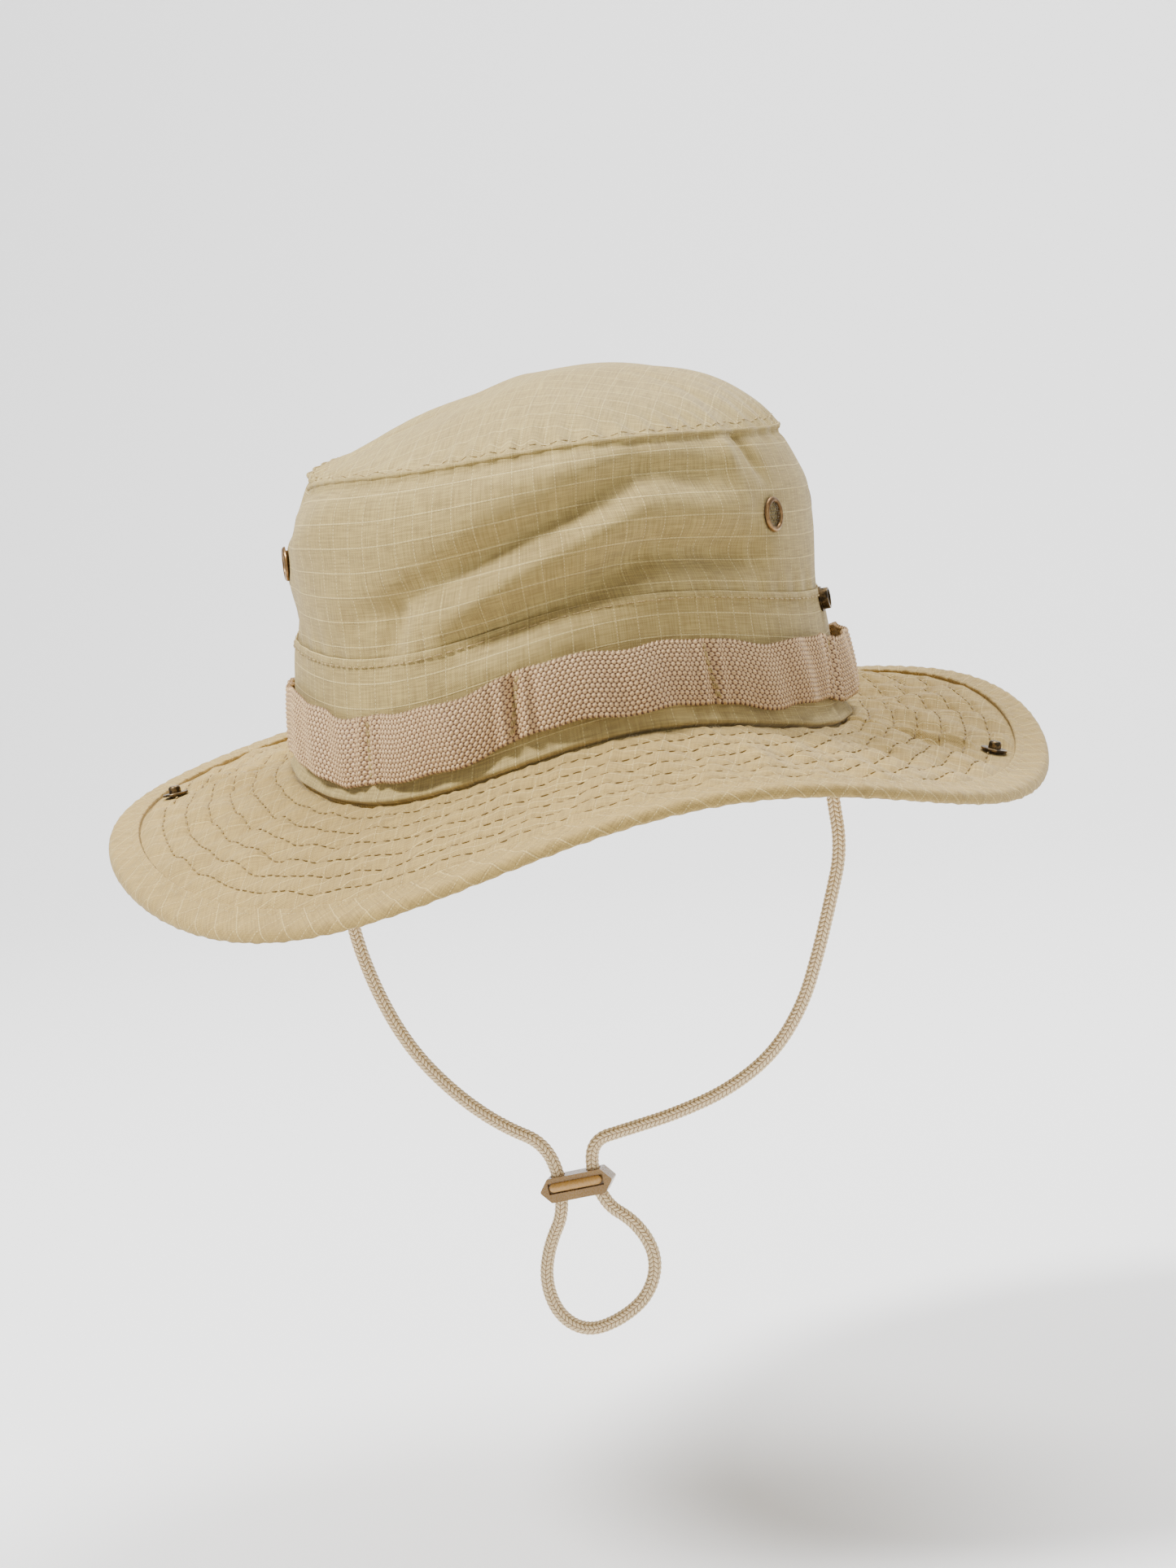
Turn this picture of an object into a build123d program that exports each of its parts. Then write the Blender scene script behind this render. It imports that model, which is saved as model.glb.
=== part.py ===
from build123d import *
import os
from math import cos, sin, tan, radians, degrees, pi, sqrt, atan2, hypot

# A boonie hat. Origin: centre of the head opening, at the height of the brim seam.
# The wearer looks along -Y, the wearer's left is +X, +Z is up. Millimetres.
# An angle round the hat is measured from the front (-Y) toward +X.

# Crown: outer half widths (X) and half lengths (Y) at each height
CROWN_LEVELS = [(0, 87.0, 103.0), (20, 85.3, 101.0), (43.5, 83.6, 98.8), (61, 84.4, 99.6), (77.5, 83.8, 99.0),
                (88, 80.6, 94.8), (95, 76.5, 88.0)]
LOWER_BAND_TOP = 43.5
SIDEWALL_BOTTOM = 34.0
CROWN_SEAM = 95.0
DOME_RISE = 20.0
CLOTH = 0.8
GAP = 0.1
LAP_OFFSET = CLOTH + GAP

# Sweatband and webbing
SWEATBAND = (1.0, 31.0, 1.2)
WEBBING = (8.0, 28.0, 1.2)
WEBBING_LOOPS = 9
FIRST_TACK = 3.0
LOOP_BULGE = 3.2

# Brim
BRIM_INNER = (87.2, 103.2)
BRIM_OUTER = (150.0, 158.5)
BRIM_PLY = 0.6
INTERLINING = 1.0
BINDING_WIDTH = 10.0
BINDING_CLOTH = 0.6
FOLD_X = 94.5
FOLD_GAP = 0.3
FOLD_LIFT = 0.3

# Snap fasteners
STUD_X = 133.6
STUD_BASE = (4.2, 0.7)
STUD_POST = (2.0, 2.3)
SOCKET_DISC = (4.0, 0.6)
SOCKET_RING = (3.4, 2.6, 2.3)
SNAP_CLEARANCE = 0.6
SHANK_RADIUS = 1.1
SHANK_HOLE = 1.3
CAP = (4.0, 0.7)
SOCKET_HEIGHT = 39.4

# Vents
VENT_ANGLES = [68, -68, 112, -112]
VENT_HEIGHT = 69.0
VENT_RING = (5.5, 3.8)
VENT_HUB = 4.3

# Chin cord, in the plane Y = 0
CORD_RADIUS = 2.25
ANCHOR_X = 81.2
ANCHOR_Z = 4.0
TAB = (4.6, 11.0, 15.0)
TAB_BOTTOM = -4.0
SLIDER_CENTRE = (-14.5, -142.0)
SLIDER_TILT = 7.0
SLIDER_SIZE = (24.5, 7.6, 8.0)
CORD_SPACING = 12.0
CORD_HOLE = 2.5

os.makedirs("parts", exist_ok=True)


def save(shape, name):
    export_step(shape, f"parts/{name}.step")


# ---------- crown ----------

def ellipse_face(half_x, half_y, z):
    return Pos(0, 0, z) * Ellipse(half_x, half_y)


def crown_half_sizes(z):
    """Outer half width and half length of the crown at height z."""
    for (z0, x0, y0), (z1, x1, y1) in zip(CROWN_LEVELS, CROWN_LEVELS[1:]):
        if z <= z1:
            share = (z - z0) / (z1 - z0)
            return x0 + (x1 - x0) * share, y0 + (y1 - y0) * share
    return CROWN_LEVELS[-1][1:]


def crown_solid(bottom, top, inset):
    heights = [bottom] + [z for z, _, _ in CROWN_LEVELS if bottom < z < top] + [top]
    sections = []
    for z in heights:
        half_x, half_y = crown_half_sizes(z)
        sections.append(ellipse_face(half_x - inset, half_y - inset, z))
    return loft(sections, ruled=True)


def crown_wall(bottom, top, outer_inset, thickness):
    return crown_solid(bottom, top, outer_inset) - crown_solid(bottom, top, outer_inset + thickness)


def wall_place(angle, z, inset=0.0):
    """A location on the crown's outer surface, with its own Z axis along the outward normal."""
    half_x, half_y = crown_half_sizes(z)
    phi = radians(angle)
    x, y = (half_x - inset) * sin(phi), -(half_y - inset) * cos(phi)
    above = crown_half_sizes(z + 1)[0]
    below = crown_half_sizes(z - 1)[0]
    normal = Vector(x / half_x ** 2, y / half_y ** 2, 0).normalized()
    normal = (normal + Vector(0, 0, (below - above) / 2)).normalized()
    return Location(Plane(origin=(x, y, z), x_dir=normal.cross(Vector(0, 0, 1)), z_dir=normal))


def drill(place, radius, depth=12):
    return place * Cylinder(radius, depth)


def dome(inset):
    """The crown top as a low dome: ellipses that shrink along a quarter circle."""
    half_x, half_y = crown_half_sizes(CROWN_SEAM)
    rise = DOME_RISE - inset
    sections = []
    for step in range(0, 85, 12):
        size = cos(radians(step))
        sections.append(ellipse_face((half_x - inset) * size, (half_y - inset) * size,
                                     CROWN_SEAM + rise * sin(radians(step))))
    return loft(sections, ruled=True)


def webbing_outline(offset, z):
    """The webbing hugs the crown at each tack and stands off between tacks."""
    half_x, half_y = crown_half_sizes(z)
    points = []
    steps = 16 * WEBBING_LOOPS
    for step in range(steps):
        phi = 2 * pi * step / steps + radians(FIRST_TACK)
        bulge = LOOP_BULGE * sin(WEBBING_LOOPS * (phi - radians(FIRST_TACK)) / 2) ** 2 + offset
        points.append(((half_x + bulge) * sin(phi), -(half_y + bulge) * cos(phi), z))
    return Face(Wire(Edge.make_spline([Vector(*p) for p in points], periodic=True)))


def webbing():
    bottom, top, thickness = WEBBING
    outer = loft([webbing_outline(0.3 + thickness, bottom), webbing_outline(0.3 + thickness, top)], ruled=True)
    inner = loft([webbing_outline(0.3, bottom), webbing_outline(0.3, top)], ruled=True)
    return outer - inner


# ---------- brim ----------

def brim_edge_z(phi):
    """Height of the brim's outer edge: drooping in front, least at the back, uneven from side to side."""
    return (-12.2 - 10.0 * cos(phi) + 1.5 * cos(2 * phi) + 5.5 * sin(2 * phi) + 6.0 * sin(3 * phi)
            + 1.2 * cos(3 * phi))


def brim_point(phi, from_edge, lift):
    """A point of the brim's middle surface, from_edge inside its outer edge, or at its seam if None."""
    inner = Vector(BRIM_INNER[0] * sin(phi), -BRIM_INNER[1] * cos(phi), 0)
    outer = Vector(BRIM_OUTER[0] * sin(phi), -BRIM_OUTER[1] * cos(phi), brim_edge_z(phi))
    share = 0.0 if from_edge is None else 1 - from_edge / (outer - inner).length
    return inner + (outer - inner) * share + Vector(0, 0, lift)


def brim_half(side, inner_edge, outer_edge, bottom, thickness):
    """Front (side 1) or back (side -1) half ring between two distances from the edge."""
    first = -pi / 2 if side > 0 else pi / 2
    curves = []
    for from_edge in (inner_edge, outer_edge):
        points = [brim_point(first + pi * step / 18, from_edge, bottom) for step in range(19)]
        curves.append(Edge.make_spline(points))
    return extrude(Face.make_surface_from_curves(*curves), thickness, dir=(0, 0, 1))


def brim_region(name):
    """A block that keeps the fixed middle of the brim, or one side's fold-up flap."""
    reach = 400
    if name == "centre":
        return Box(2 * FOLD_X - FOLD_GAP, reach, reach)
    side = 1 if name == "left" else -1
    return Pos(side * (FOLD_X + FOLD_GAP / 2 + reach / 2), 0, 0) * Box(reach, reach, reach)


def brim_layers():
    """Bottom height and thickness of each layer about the brim's middle surface."""
    low = -INTERLINING / 2 - GAP - BRIM_PLY
    return {"lower": (low, BRIM_PLY), "interlining": (-INTERLINING / 2, INTERLINING),
            "upper": (INTERLINING / 2 + GAP, BRIM_PLY)}


BRIM_TOP = INTERLINING / 2 + GAP + BRIM_PLY


def binding_half(side):
    outside = BRIM_TOP + GAP + BINDING_CLOTH
    inside = BRIM_TOP + GAP
    shell = brim_half(side, BINDING_WIDTH, 0, -outside, 2 * outside)
    return shell - brim_half(side, BINDING_WIDTH + 2, BINDING_CLOTH, -inside, 2 * inside)


def stud_clearance(sign):
    """How much the brim rises or falls, front to back, under half of the stud's base."""
    step = 0.02
    phi = sign * pi / 2
    rise = (brim_edge_z(phi + step) - brim_edge_z(phi - step)) / (2 * step)
    share = (STUD_X - BRIM_INNER[0]) / (BRIM_OUTER[0] - BRIM_INNER[0])
    half_length = BRIM_INNER[1] + (BRIM_OUTER[1] - BRIM_INNER[1]) * share
    return STUD_BASE[0] * abs(rise) * share / half_length + 0.05


def stud_place(sign):
    """The stud's place on the brim's upper surface, with its own Z axis square to the brim."""
    phi = sign * pi / 2
    slope = brim_edge_z(phi) / (BRIM_OUTER[0] - BRIM_INNER[0])
    z = slope * (STUD_X - BRIM_INNER[0]) + BRIM_TOP + stud_clearance(sign)
    normal = Vector(-sign * slope, 0, 1).normalized()
    return Location(Plane(origin=(sign * STUD_X, 0, z), x_dir=(0, 1, 0), z_dir=normal))


def fold_axis_z(sign):
    """Just above the brim's highest point along the fold line."""
    heights = []
    for step in range(-30, 31):
        phi = sign * pi / 2 + radians(step * 1.6)
        inner, outer = brim_point(phi, None, BRIM_TOP), brim_point(phi, 0, BRIM_TOP)
        share = (FOLD_X - abs(inner.X)) / (abs(outer.X) - abs(inner.X))
        if 0 <= share <= 1:
            heights.append((inner + (outer - inner) * share).Z)
    return max(heights) + FOLD_LIFT


def fold_angle(sign):
    """The fold that brings the stud's base to the face of its socket on the crown."""
    place = stud_place(sign)
    reach_x, reach_z = STUD_X - FOLD_X, place.position.Z - fold_axis_z(sign)
    stand_off = SOCKET_DISC[1] + SOCKET_RING[2] + STUD_BASE[1] + SNAP_CLEARANCE
    target = FOLD_X - crown_half_sizes(SOCKET_HEIGHT)[0] - stand_off
    reach = hypot(reach_x, reach_z)
    return 90 + degrees(atan2(-reach_z, reach_x)) + degrees(atan2(target, sqrt(reach ** 2 - target ** 2)))


# ---------- fasteners ----------

def snap_stud(place):
    base_radius, base_height = STUD_BASE
    post_radius, post_height = STUD_POST
    base = Pos(0, 0, 0.05 + base_height / 2) * Cylinder(base_radius, base_height)
    base = fillet(base.edges().group_by(Axis.Z)[-1], 0.3)
    post = Pos(0, 0, 0.05 + base_height + post_height / 2) * Cylinder(post_radius, post_height)
    post = fillet(post.edges().group_by(Axis.Z)[-1], 0.9)
    return place * (base + post)


def rivet_cap(place, depth):
    """A flat cap behind the cloth with a shank through it, depth below the face the place lies on."""
    radius, height = CAP
    cap = Pos(0, 0, -depth - 0.05 - height / 2) * Cylinder(radius, height)
    shank = Pos(0, 0, -depth / 2 - 0.1) * Cylinder(SHANK_RADIUS, depth + 0.1)
    return place * (cap + shank)


def snap_socket(place):
    disc_radius, disc_height = SOCKET_DISC
    ring_radius, hole_radius, ring_height = SOCKET_RING
    disc = Pos(0, 0, 0.1 + disc_height / 2) * Cylinder(disc_radius, disc_height)
    ring = Pos(0, 0, 0.1 + disc_height + ring_height / 2) * Cylinder(ring_radius, ring_height)
    ring = fillet(ring.edges().group_by(Axis.Z)[-1], 0.3)
    hole = Pos(0, 0, 0.1 + disc_height + ring_height / 2) * Cylinder(hole_radius, ring_height)
    return place * (disc + ring - hole)


def vent_eyelet(place):
    outer, inner = VENT_RING
    flange = Pos(0, 0, 0.25 + 0.5) * Cylinder(outer, 1.0)
    flange = fillet(flange.edges().group_by(Axis.Z)[-1], 0.45)
    hub = Pos(0, 0, -0.6) * Cylinder(VENT_HUB - 0.1, 2.2)
    return place * (flange + hub - Cylinder(inner, 8))


def vent_washer(place):
    outer, _ = VENT_RING
    return place * (Pos(0, 0, -CLOTH - 0.55) * (Cylinder(outer, 0.4) - Cylinder(VENT_HUB, 0.4)))


def vent_screen(place):
    _, inner = VENT_RING
    return place * (Pos(0, 0, 0.35) * Cylinder(inner - 0.03, 0.4))


# ---------- chin cord ----------

def slider_point(across, up):
    """A point of the tilted slider, in the plane Y = 0."""
    tilt = radians(SLIDER_TILT)
    x = SLIDER_CENTRE[0] + across * cos(tilt) - up * sin(tilt)
    z = SLIDER_CENTRE[1] + across * sin(tilt) + up * cos(tilt)
    return (x, z)


SLIDER_TOP = SLIDER_SIZE[2] / 2
HALF_SPACING = CORD_SPACING / 2

# Routes of the cord as (X, Z), each ending at a hole in the slider's top
RIGHT_SIDE_ROUTE = [(-ANCHOR_X, TAB_BOTTOM), (-ANCHOR_X, -27), (-80.0, -51), (-74.5, -73), (-65.5, -93),
                    (-52.5, -109), (-38.0, -121),
                    slider_point(-HALF_SPACING, SLIDER_TOP + 10), slider_point(-HALF_SPACING, SLIDER_TOP)]
LEFT_SIDE_ROUTE = [(ANCHOR_X, TAB_BOTTOM), (ANCHOR_X, -22), (82.5, -40), (77.0, -57), (71.5, -73), (65.0, -89),
                   (54.0, -104), (38.5, -114.5), (21.0, -121), (4.5, -125),
                   slider_point(HALF_SPACING, SLIDER_TOP + 9), slider_point(HALF_SPACING, SLIDER_TOP)]
LOOP_ROUTE = [slider_point(-HALF_SPACING, SLIDER_TOP), slider_point(-HALF_SPACING, -SLIDER_TOP - 3),
              (-26.5, -162), (-29.0, -174), (-25.5, -185.5), (-16.5, -191), (-5.0, -187.5), (5.0, -180),
              (9.0, -168), (3.5, -156),
              slider_point(HALF_SPACING, -SLIDER_TOP - 3), slider_point(HALF_SPACING, SLIDER_TOP)]


def cord_tube(route, name):
    """Straight runs joined by arcs as large as the runs allow."""
    points = [Vector(x, 0, z) for x, z in route]
    radii = []
    for before, here, after in zip(points, points[1:], points[2:]):
        turn = radians((here - before).get_angle(after - here))
        shorter = min((here - before).length, (after - here).length)
        radii.append(0.45 * shorter / tan(turn / 2))
    path = FilletPolyline(*points, radius=radii)
    start = Plane(origin=points[0], z_dir=points[1] - points[0])
    tube = sweep(start * Circle(CORD_RADIUS), path=path)
    runs = [(b - a).length for a, b in zip(points, points[1:])]
    section = pi * CORD_RADIUS ** 2
    print(name, "length", round(path.length, 1), "volume share", round(tube.volume / (section * path.length), 4))
    print("  radii", [round(r, 1) for r in radii], "runs", [round(r, 1) for r in runs])
    return tube


def anchor_tab(sign):
    depth, width, height = TAB
    tab = Pos(sign * ANCHOR_X, 0, TAB_BOTTOM + height / 2) * Box(depth, width, height)
    return fillet(tab.edges().filter_by(Axis.X), 2.0)


def slider_place():
    x, z = SLIDER_CENTRE
    return Pos(x, 0, z) * Rot(0, -SLIDER_TILT, 0)


def slider_body():
    length, depth, height = SLIDER_SIZE
    point = 3.2
    outline = Polyline((-length / 2, 0), (-length / 2 + point, height / 2), (length / 2 - point, height / 2),
                       (length / 2, 0), (length / 2 - point, -height / 2), (-length / 2 + point, -height / 2),
                       close=True)
    profile = Plane.XZ * make_face(outline)
    body = extrude(profile, depth / 2, both=True)
    body = fillet(body.edges().filter_by(Axis.Y), 0.8)
    recess = Pos(0, -depth / 2, 0.6) * Box(length - 6, 2.6, 3.6)
    body -= recess
    for side in (-1, 1):
        body -= Pos(side * HALF_SPACING, 0, 0) * Cylinder(CORD_HOLE, height + 2)
    return slider_place() * body


def slider_bar():
    length, depth, _ = SLIDER_SIZE
    bar = Pos(0, -depth / 2, 0.6) * Box(length - 6.6, 1.9, 3.0)
    bar = fillet(bar.edges().filter_by(Axis.Y), 0.8)
    return slider_place() * bar


# ---------- write every piece ----------

def make_crown():
    sockets = {sign: wall_place(sign * 90, SOCKET_HEIGHT) for sign in (1, -1)}
    vents = [wall_place(angle, VENT_HEIGHT, LAP_OFFSET) for angle in VENT_ANGLES]
    band = crown_wall(0, LOWER_BAND_TOP, 0, CLOTH)
    sidewall = crown_wall(SIDEWALL_BOTTOM, CROWN_SEAM, LAP_OFFSET, CLOTH)
    for place in sockets.values():
        band -= drill(place, SHANK_HOLE)
        sidewall -= drill(place, SHANK_HOLE)
    for place in vents:
        sidewall -= drill(place, VENT_HUB)
    save(band, "crown_lower_band")
    save(sidewall, "crown_sidewall")
    save(Pos(0, 0, GAP) * (dome(LAP_OFFSET) - dome(LAP_OFFSET + CLOTH)), "crown_top")
    bottom, top, thickness = SWEATBAND
    save(crown_wall(bottom, top, LAP_OFFSET, thickness), "sweatband")
    save(webbing(), "branch_loop_webbing")
    for angle, place in zip(VENT_ANGLES, vents):
        where = ("front" if abs(angle) < 90 else "back") + ("_left" if angle > 0 else "_right")
        save(vent_eyelet(place), f"vent_eyelet_{where}")
        save(vent_screen(place), f"vent_screen_{where}")
    save(Compound(children=[vent_washer(place) for place in vents]), "vent_washers")
    for sign, side in ((1, "left"), (-1, "right")):
        save(snap_socket(sockets[sign]), f"snap_socket_{side}")
        save(rivet_cap(sockets[sign], 2 * CLOTH + 2 * GAP), f"snap_socket_cap_{side}")


def make_brim():
    for region in ("centre", "left", "right"):
        block = brim_region(region)
        sign = {"left": 1, "right": -1}.get(region)
        hole = drill(stud_place(sign), SHANK_HOLE) if sign else None
        for layer, (bottom, thickness) in brim_layers().items():
            edge = BINDING_CLOTH + GAP
            halves = [(brim_half(side, None, edge, bottom, thickness) & block) for side in (1, -1)]
            if layer == "interlining":
                whole = halves[0] + halves[1]
                save(whole - hole if sign else whole, f"brim_interlining_{region}")
                continue
            for half, name in zip(halves, ("front", "back")):
                save(half - hole if sign else half, f"brim_{layer}_{name}_{region}")
        save((binding_half(1) & block) + (binding_half(-1) & block), f"brim_binding_{region}")
    for sign, side in ((1, "left"), (-1, "right")):
        save(snap_stud(stud_place(sign)), f"snap_stud_{side}")
        save(rivet_cap(stud_place(sign), 2 * (BRIM_TOP + stud_clearance(sign))), f"snap_stud_cap_{side}")
        print(side, "fold axis x", sign * FOLD_X, "z", round(fold_axis_z(sign), 2),
              "fold angle", round(fold_angle(sign), 1))


def make_chin_cord():
    save(cord_tube(RIGHT_SIDE_ROUTE, "right"), "chin_cord_right")
    save(cord_tube(LEFT_SIDE_ROUTE, "left"), "chin_cord_left")
    save(cord_tube(LOOP_ROUTE, "loop"), "chin_cord_loop")
    save(anchor_tab(1), "cord_anchor_tab_left")
    save(anchor_tab(-1), "cord_anchor_tab_right")
    save(slider_body(), "cord_slider_body")
    save(slider_bar(), "cord_slider_bar")


make_crown()
make_brim()
make_chin_cord()
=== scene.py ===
"""A boonie hat in khaki ripstop cloth, built round its CAD frame."""
import math

import bpy
import numpy as np
from mathutils import Matrix, Vector


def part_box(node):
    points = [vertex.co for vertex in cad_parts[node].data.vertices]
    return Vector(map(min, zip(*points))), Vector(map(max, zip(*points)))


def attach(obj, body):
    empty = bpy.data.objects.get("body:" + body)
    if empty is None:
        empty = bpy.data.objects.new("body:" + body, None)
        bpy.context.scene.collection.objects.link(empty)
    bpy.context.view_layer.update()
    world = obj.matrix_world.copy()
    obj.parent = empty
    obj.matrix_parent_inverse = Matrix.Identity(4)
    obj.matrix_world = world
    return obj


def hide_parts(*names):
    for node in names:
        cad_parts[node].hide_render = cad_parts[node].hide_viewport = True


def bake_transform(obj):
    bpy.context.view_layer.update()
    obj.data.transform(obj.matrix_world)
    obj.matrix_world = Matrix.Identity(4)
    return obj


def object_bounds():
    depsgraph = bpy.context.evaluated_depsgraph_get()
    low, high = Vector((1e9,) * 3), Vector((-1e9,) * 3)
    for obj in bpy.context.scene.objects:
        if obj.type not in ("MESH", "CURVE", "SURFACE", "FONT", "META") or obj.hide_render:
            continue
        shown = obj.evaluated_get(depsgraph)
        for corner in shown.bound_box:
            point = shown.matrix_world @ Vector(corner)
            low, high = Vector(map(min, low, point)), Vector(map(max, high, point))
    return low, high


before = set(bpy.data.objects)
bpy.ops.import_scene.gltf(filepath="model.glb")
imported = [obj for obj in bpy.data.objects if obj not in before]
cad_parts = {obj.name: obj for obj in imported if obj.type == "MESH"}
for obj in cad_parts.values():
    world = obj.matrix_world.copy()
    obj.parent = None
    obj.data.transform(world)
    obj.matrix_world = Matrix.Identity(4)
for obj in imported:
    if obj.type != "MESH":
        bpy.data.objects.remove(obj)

cad_low, cad_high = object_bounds()

# Lengths below are in millimetres until a mesh is written, and angles run from the hat's front (-Y)
# toward the wearer's left (+X).
MM = 0.001
TURN = 2 * np.pi
WHITE = (1, 1, 1, 1)


# ---------------------------------------------------------------- camera

CAMERA_AZIMUTH = 11.4
CAMERA_ELEVATION = 5.9
CAMERA_ROLL = 6.3
CAMERA_DISTANCE = 1.316
CAMERA_LENS = 94.4
CAMERA_PAN = (0.0045, -0.0120)


def add_object(name, data):
    obj = bpy.data.objects.new(name, data)
    bpy.context.collection.objects.link(obj)
    return obj


def make_camera():
    az, el, roll = (math.radians(v) for v in (CAMERA_AZIMUTH, CAMERA_ELEVATION, CAMERA_ROLL))
    back = Vector((math.sin(az) * math.cos(el), -math.cos(az) * math.cos(el), math.sin(el)))
    right = Vector((math.cos(az), math.sin(az), 0))
    up = back.cross(right)
    across = right * math.cos(roll) - up * math.sin(roll)
    above = right * math.sin(roll) + up * math.cos(roll)
    data = bpy.data.cameras.new("camera")
    data.lens = CAMERA_LENS
    camera = add_object("camera", data)
    place = back * CAMERA_DISTANCE + across * CAMERA_PAN[0] + above * CAMERA_PAN[1]
    camera.matrix_world = Matrix.Translation(place) @ Matrix((across, above, back)).transposed().to_4x4()
    bpy.context.scene.camera = camera


# ---------------------------------------------------------------- meshes

def unit(v):
    return v / np.maximum(np.linalg.norm(v, axis=-1, keepdims=True), 1e-9)


def travelled(points):
    """The distance along a row of points, 0 at the first."""
    return np.concatenate([[0], np.cumsum(np.linalg.norm(np.diff(points, axis=0), axis=1))])


def turn_from(angle, start):
    """The angle from start, between minus half a turn and half a turn."""
    return (angle - start + np.pi) % TURN - np.pi


def set_down(points, place):
    """Points of a place's own axes, moved to where that place is."""
    return points @ np.array(place.to_3x3()).T + np.array(place.to_translation())


def write_mesh(name, points, faces, uv=None, normals=None, material=None):
    """A smooth-shaded mesh. uv holds one pair per corner of each face, in millimetres."""
    mesh = bpy.data.meshes.new(name)
    mesh.from_pydata((np.asarray(points) * MM).tolist(), [], np.asarray(faces).tolist())
    mesh.shade_smooth()
    if uv is not None:
        layer = mesh.uv_layers.new(name="cloth")
        layer.data.foreach_set("uv", np.asarray(uv, np.float32).ravel())
    if normals is not None:
        mesh.normals_split_custom_set_from_vertices(np.asarray(normals).tolist())
    if material:
        mesh.materials.append(material)
    return add_object(name, mesh)


def grid_quads(rows, columns):
    """Quads between the points of a grid that is stored row by row."""
    first = np.arange(rows - 1)[:, None] * columns + np.arange(columns - 1)[None]
    return np.stack([first, first + columns, first + columns + 1, first + 1], -1).reshape(-1, 4)


def tube_faces(rings, sides):
    """Quads of an open-ended tube; the last one of each ring, which closes it, comes after all others."""
    first = np.arange(rings - 1) * sides
    closing = np.stack([first + sides - 1, first + 2 * sides - 1, first + sides, first], -1)
    return np.concatenate([grid_quads(rings, sides), closing])


def grid_normals(grid):
    """Normals of a grid whose last row is followed by its first."""
    padded = np.concatenate([grid[-1:], grid, grid[:1]], 0)
    return unit(np.cross(padded[2:] - padded[:-2], np.gradient(grid, axis=1)))


class Sheets:
    """Collects grids that close round on themselves into one mesh. Their uv has one row more."""

    def __init__(self):
        self.points, self.faces, self.uv, self.normals = [], [], [], []
        self.count = 0

    def add(self, grid, uv, flip=False):
        rows, columns = grid.shape[:2]
        uv_faces = grid_quads(rows + 1, columns)
        faces = uv_faces % (rows * columns)
        normals = grid_normals(grid)
        if flip:
            faces, uv_faces, normals = faces[:, ::-1], uv_faces[:, ::-1], -normals
        self.points.append(grid.reshape(-1, 3))
        self.normals.append(normals.reshape(-1, 3))
        self.faces.append(faces + self.count)
        self.uv.append(uv.reshape(-1, 2)[uv_faces.ravel()])
        self.count += rows * columns
        return self

    def parts(self):
        return (np.concatenate(self.points), np.concatenate(self.faces), np.concatenate(self.uv),
                np.concatenate(self.normals))

    def build(self, name, material):
        points, faces, uv, normals = self.parts()
        return write_mesh(name, points, faces, uv, normals, material)

    def build_side(self, name, material, sign):
        """Only the faces on one side of the plane X = 0."""
        points, faces, uv, normals = self.parts()
        keep = points[faces][:, :, 0].mean(1) * sign > 0
        kept = faces[keep]
        used, renamed = np.unique(kept, return_inverse=True)
        return write_mesh(name, points[used], renamed.reshape(-1, 4), uv.reshape(-1, 4, 2)[keep],
                          normals[used], material)


def on_crown(obj, slot, *replaced):
    """A piece fixed to the crown, in the place of the CAD nodes it replaces."""
    if replaced:
        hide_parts(*replaced)
    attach(obj, "crown")


def thick(outer, uv, thickness):
    """A cloth's outer face, its inner face and the turned edges between them."""
    inner = outer - grid_normals(outer) * thickness
    sheets = Sheets().add(outer, uv).add(inner, uv, flip=True)
    for edge, flip in ((0, True), (-1, False)):
        rim = np.stack([outer[:, edge], inner[:, edge]], 1)
        rim_uv = np.stack([uv[:, edge], uv[:, edge] + (0, thickness)], 1)
        sheets.add(rim, rim_uv, flip)
    return sheets


# ---------------------------------------------------------------- the hat's shape

CROWN_HEIGHTS = [0, 20, 43.5, 61, 77.5, 88, 95]
CROWN_HALF_WIDTHS = [87.0, 85.3, 83.6, 84.4, 83.8, 80.6, 76.5]
CROWN_HALF_LENGTHS = [103.0, 101.0, 98.8, 99.6, 99.0, 94.8, 88.0]
CLOTH = 0.8
SWEATBAND = 1.0
LAP_OFFSET = 0.9
BAND_TOP = 43.5
SIDEWALL_BOTTOM = 34.0
CROWN_SEAM = 95.0
DOME_RISE = 23.0
BRIM_INNER = (87.2, 103.2)
BRIM_OUTER = (150.0, 158.5)
BRIM_TOP = 1.2
WEBBING_LOW, WEBBING_HIGH = 8.0, 28.0
RIPSTOP = 7.2
THREAD_PITCH = 0.62

# Radii that turn an angle round the hat into a distance
CLOTH_RADIUS = 92.0
VENT_RADIUS = 90.0
TACK_RADIUS = 95.0
WEBBING_RADIUS = 96.0
SEAM_RADIUS = 125.0
STUD_RADIUS = 130.0
EDGE_RADIUS = 154.0
# and widths of the brim that turn a share of it into a distance
BRIM_RUN = BRIM_OUTER[0] - BRIM_INNER[0]
QUILT_RUN = 62.0
STUD_RUN = 63.0


def smooth_profile(z, values):
    """The profile through the crown's levels, with its corners rounded over a few millimetres."""
    spread = np.linspace(-5, 5, 11)
    weights = np.exp(-(spread / 3.2) ** 2)
    weights /= weights.sum()
    z = np.asarray(z, float)
    return sum(w * np.interp(z + s, CROWN_HEIGHTS, values) for s, w in zip(spread, weights))


def seam_wave(phi):
    """How far the brim seam rises or dips from a plane: up at the front left, down at the front right."""
    front = np.clip((1 + np.cos(phi)) / 2, 0, 1) ** 0.8
    return (3.0 + 6.5 * np.sin(3 * phi) + 2.6 * np.sin(phi)) * front


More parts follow.
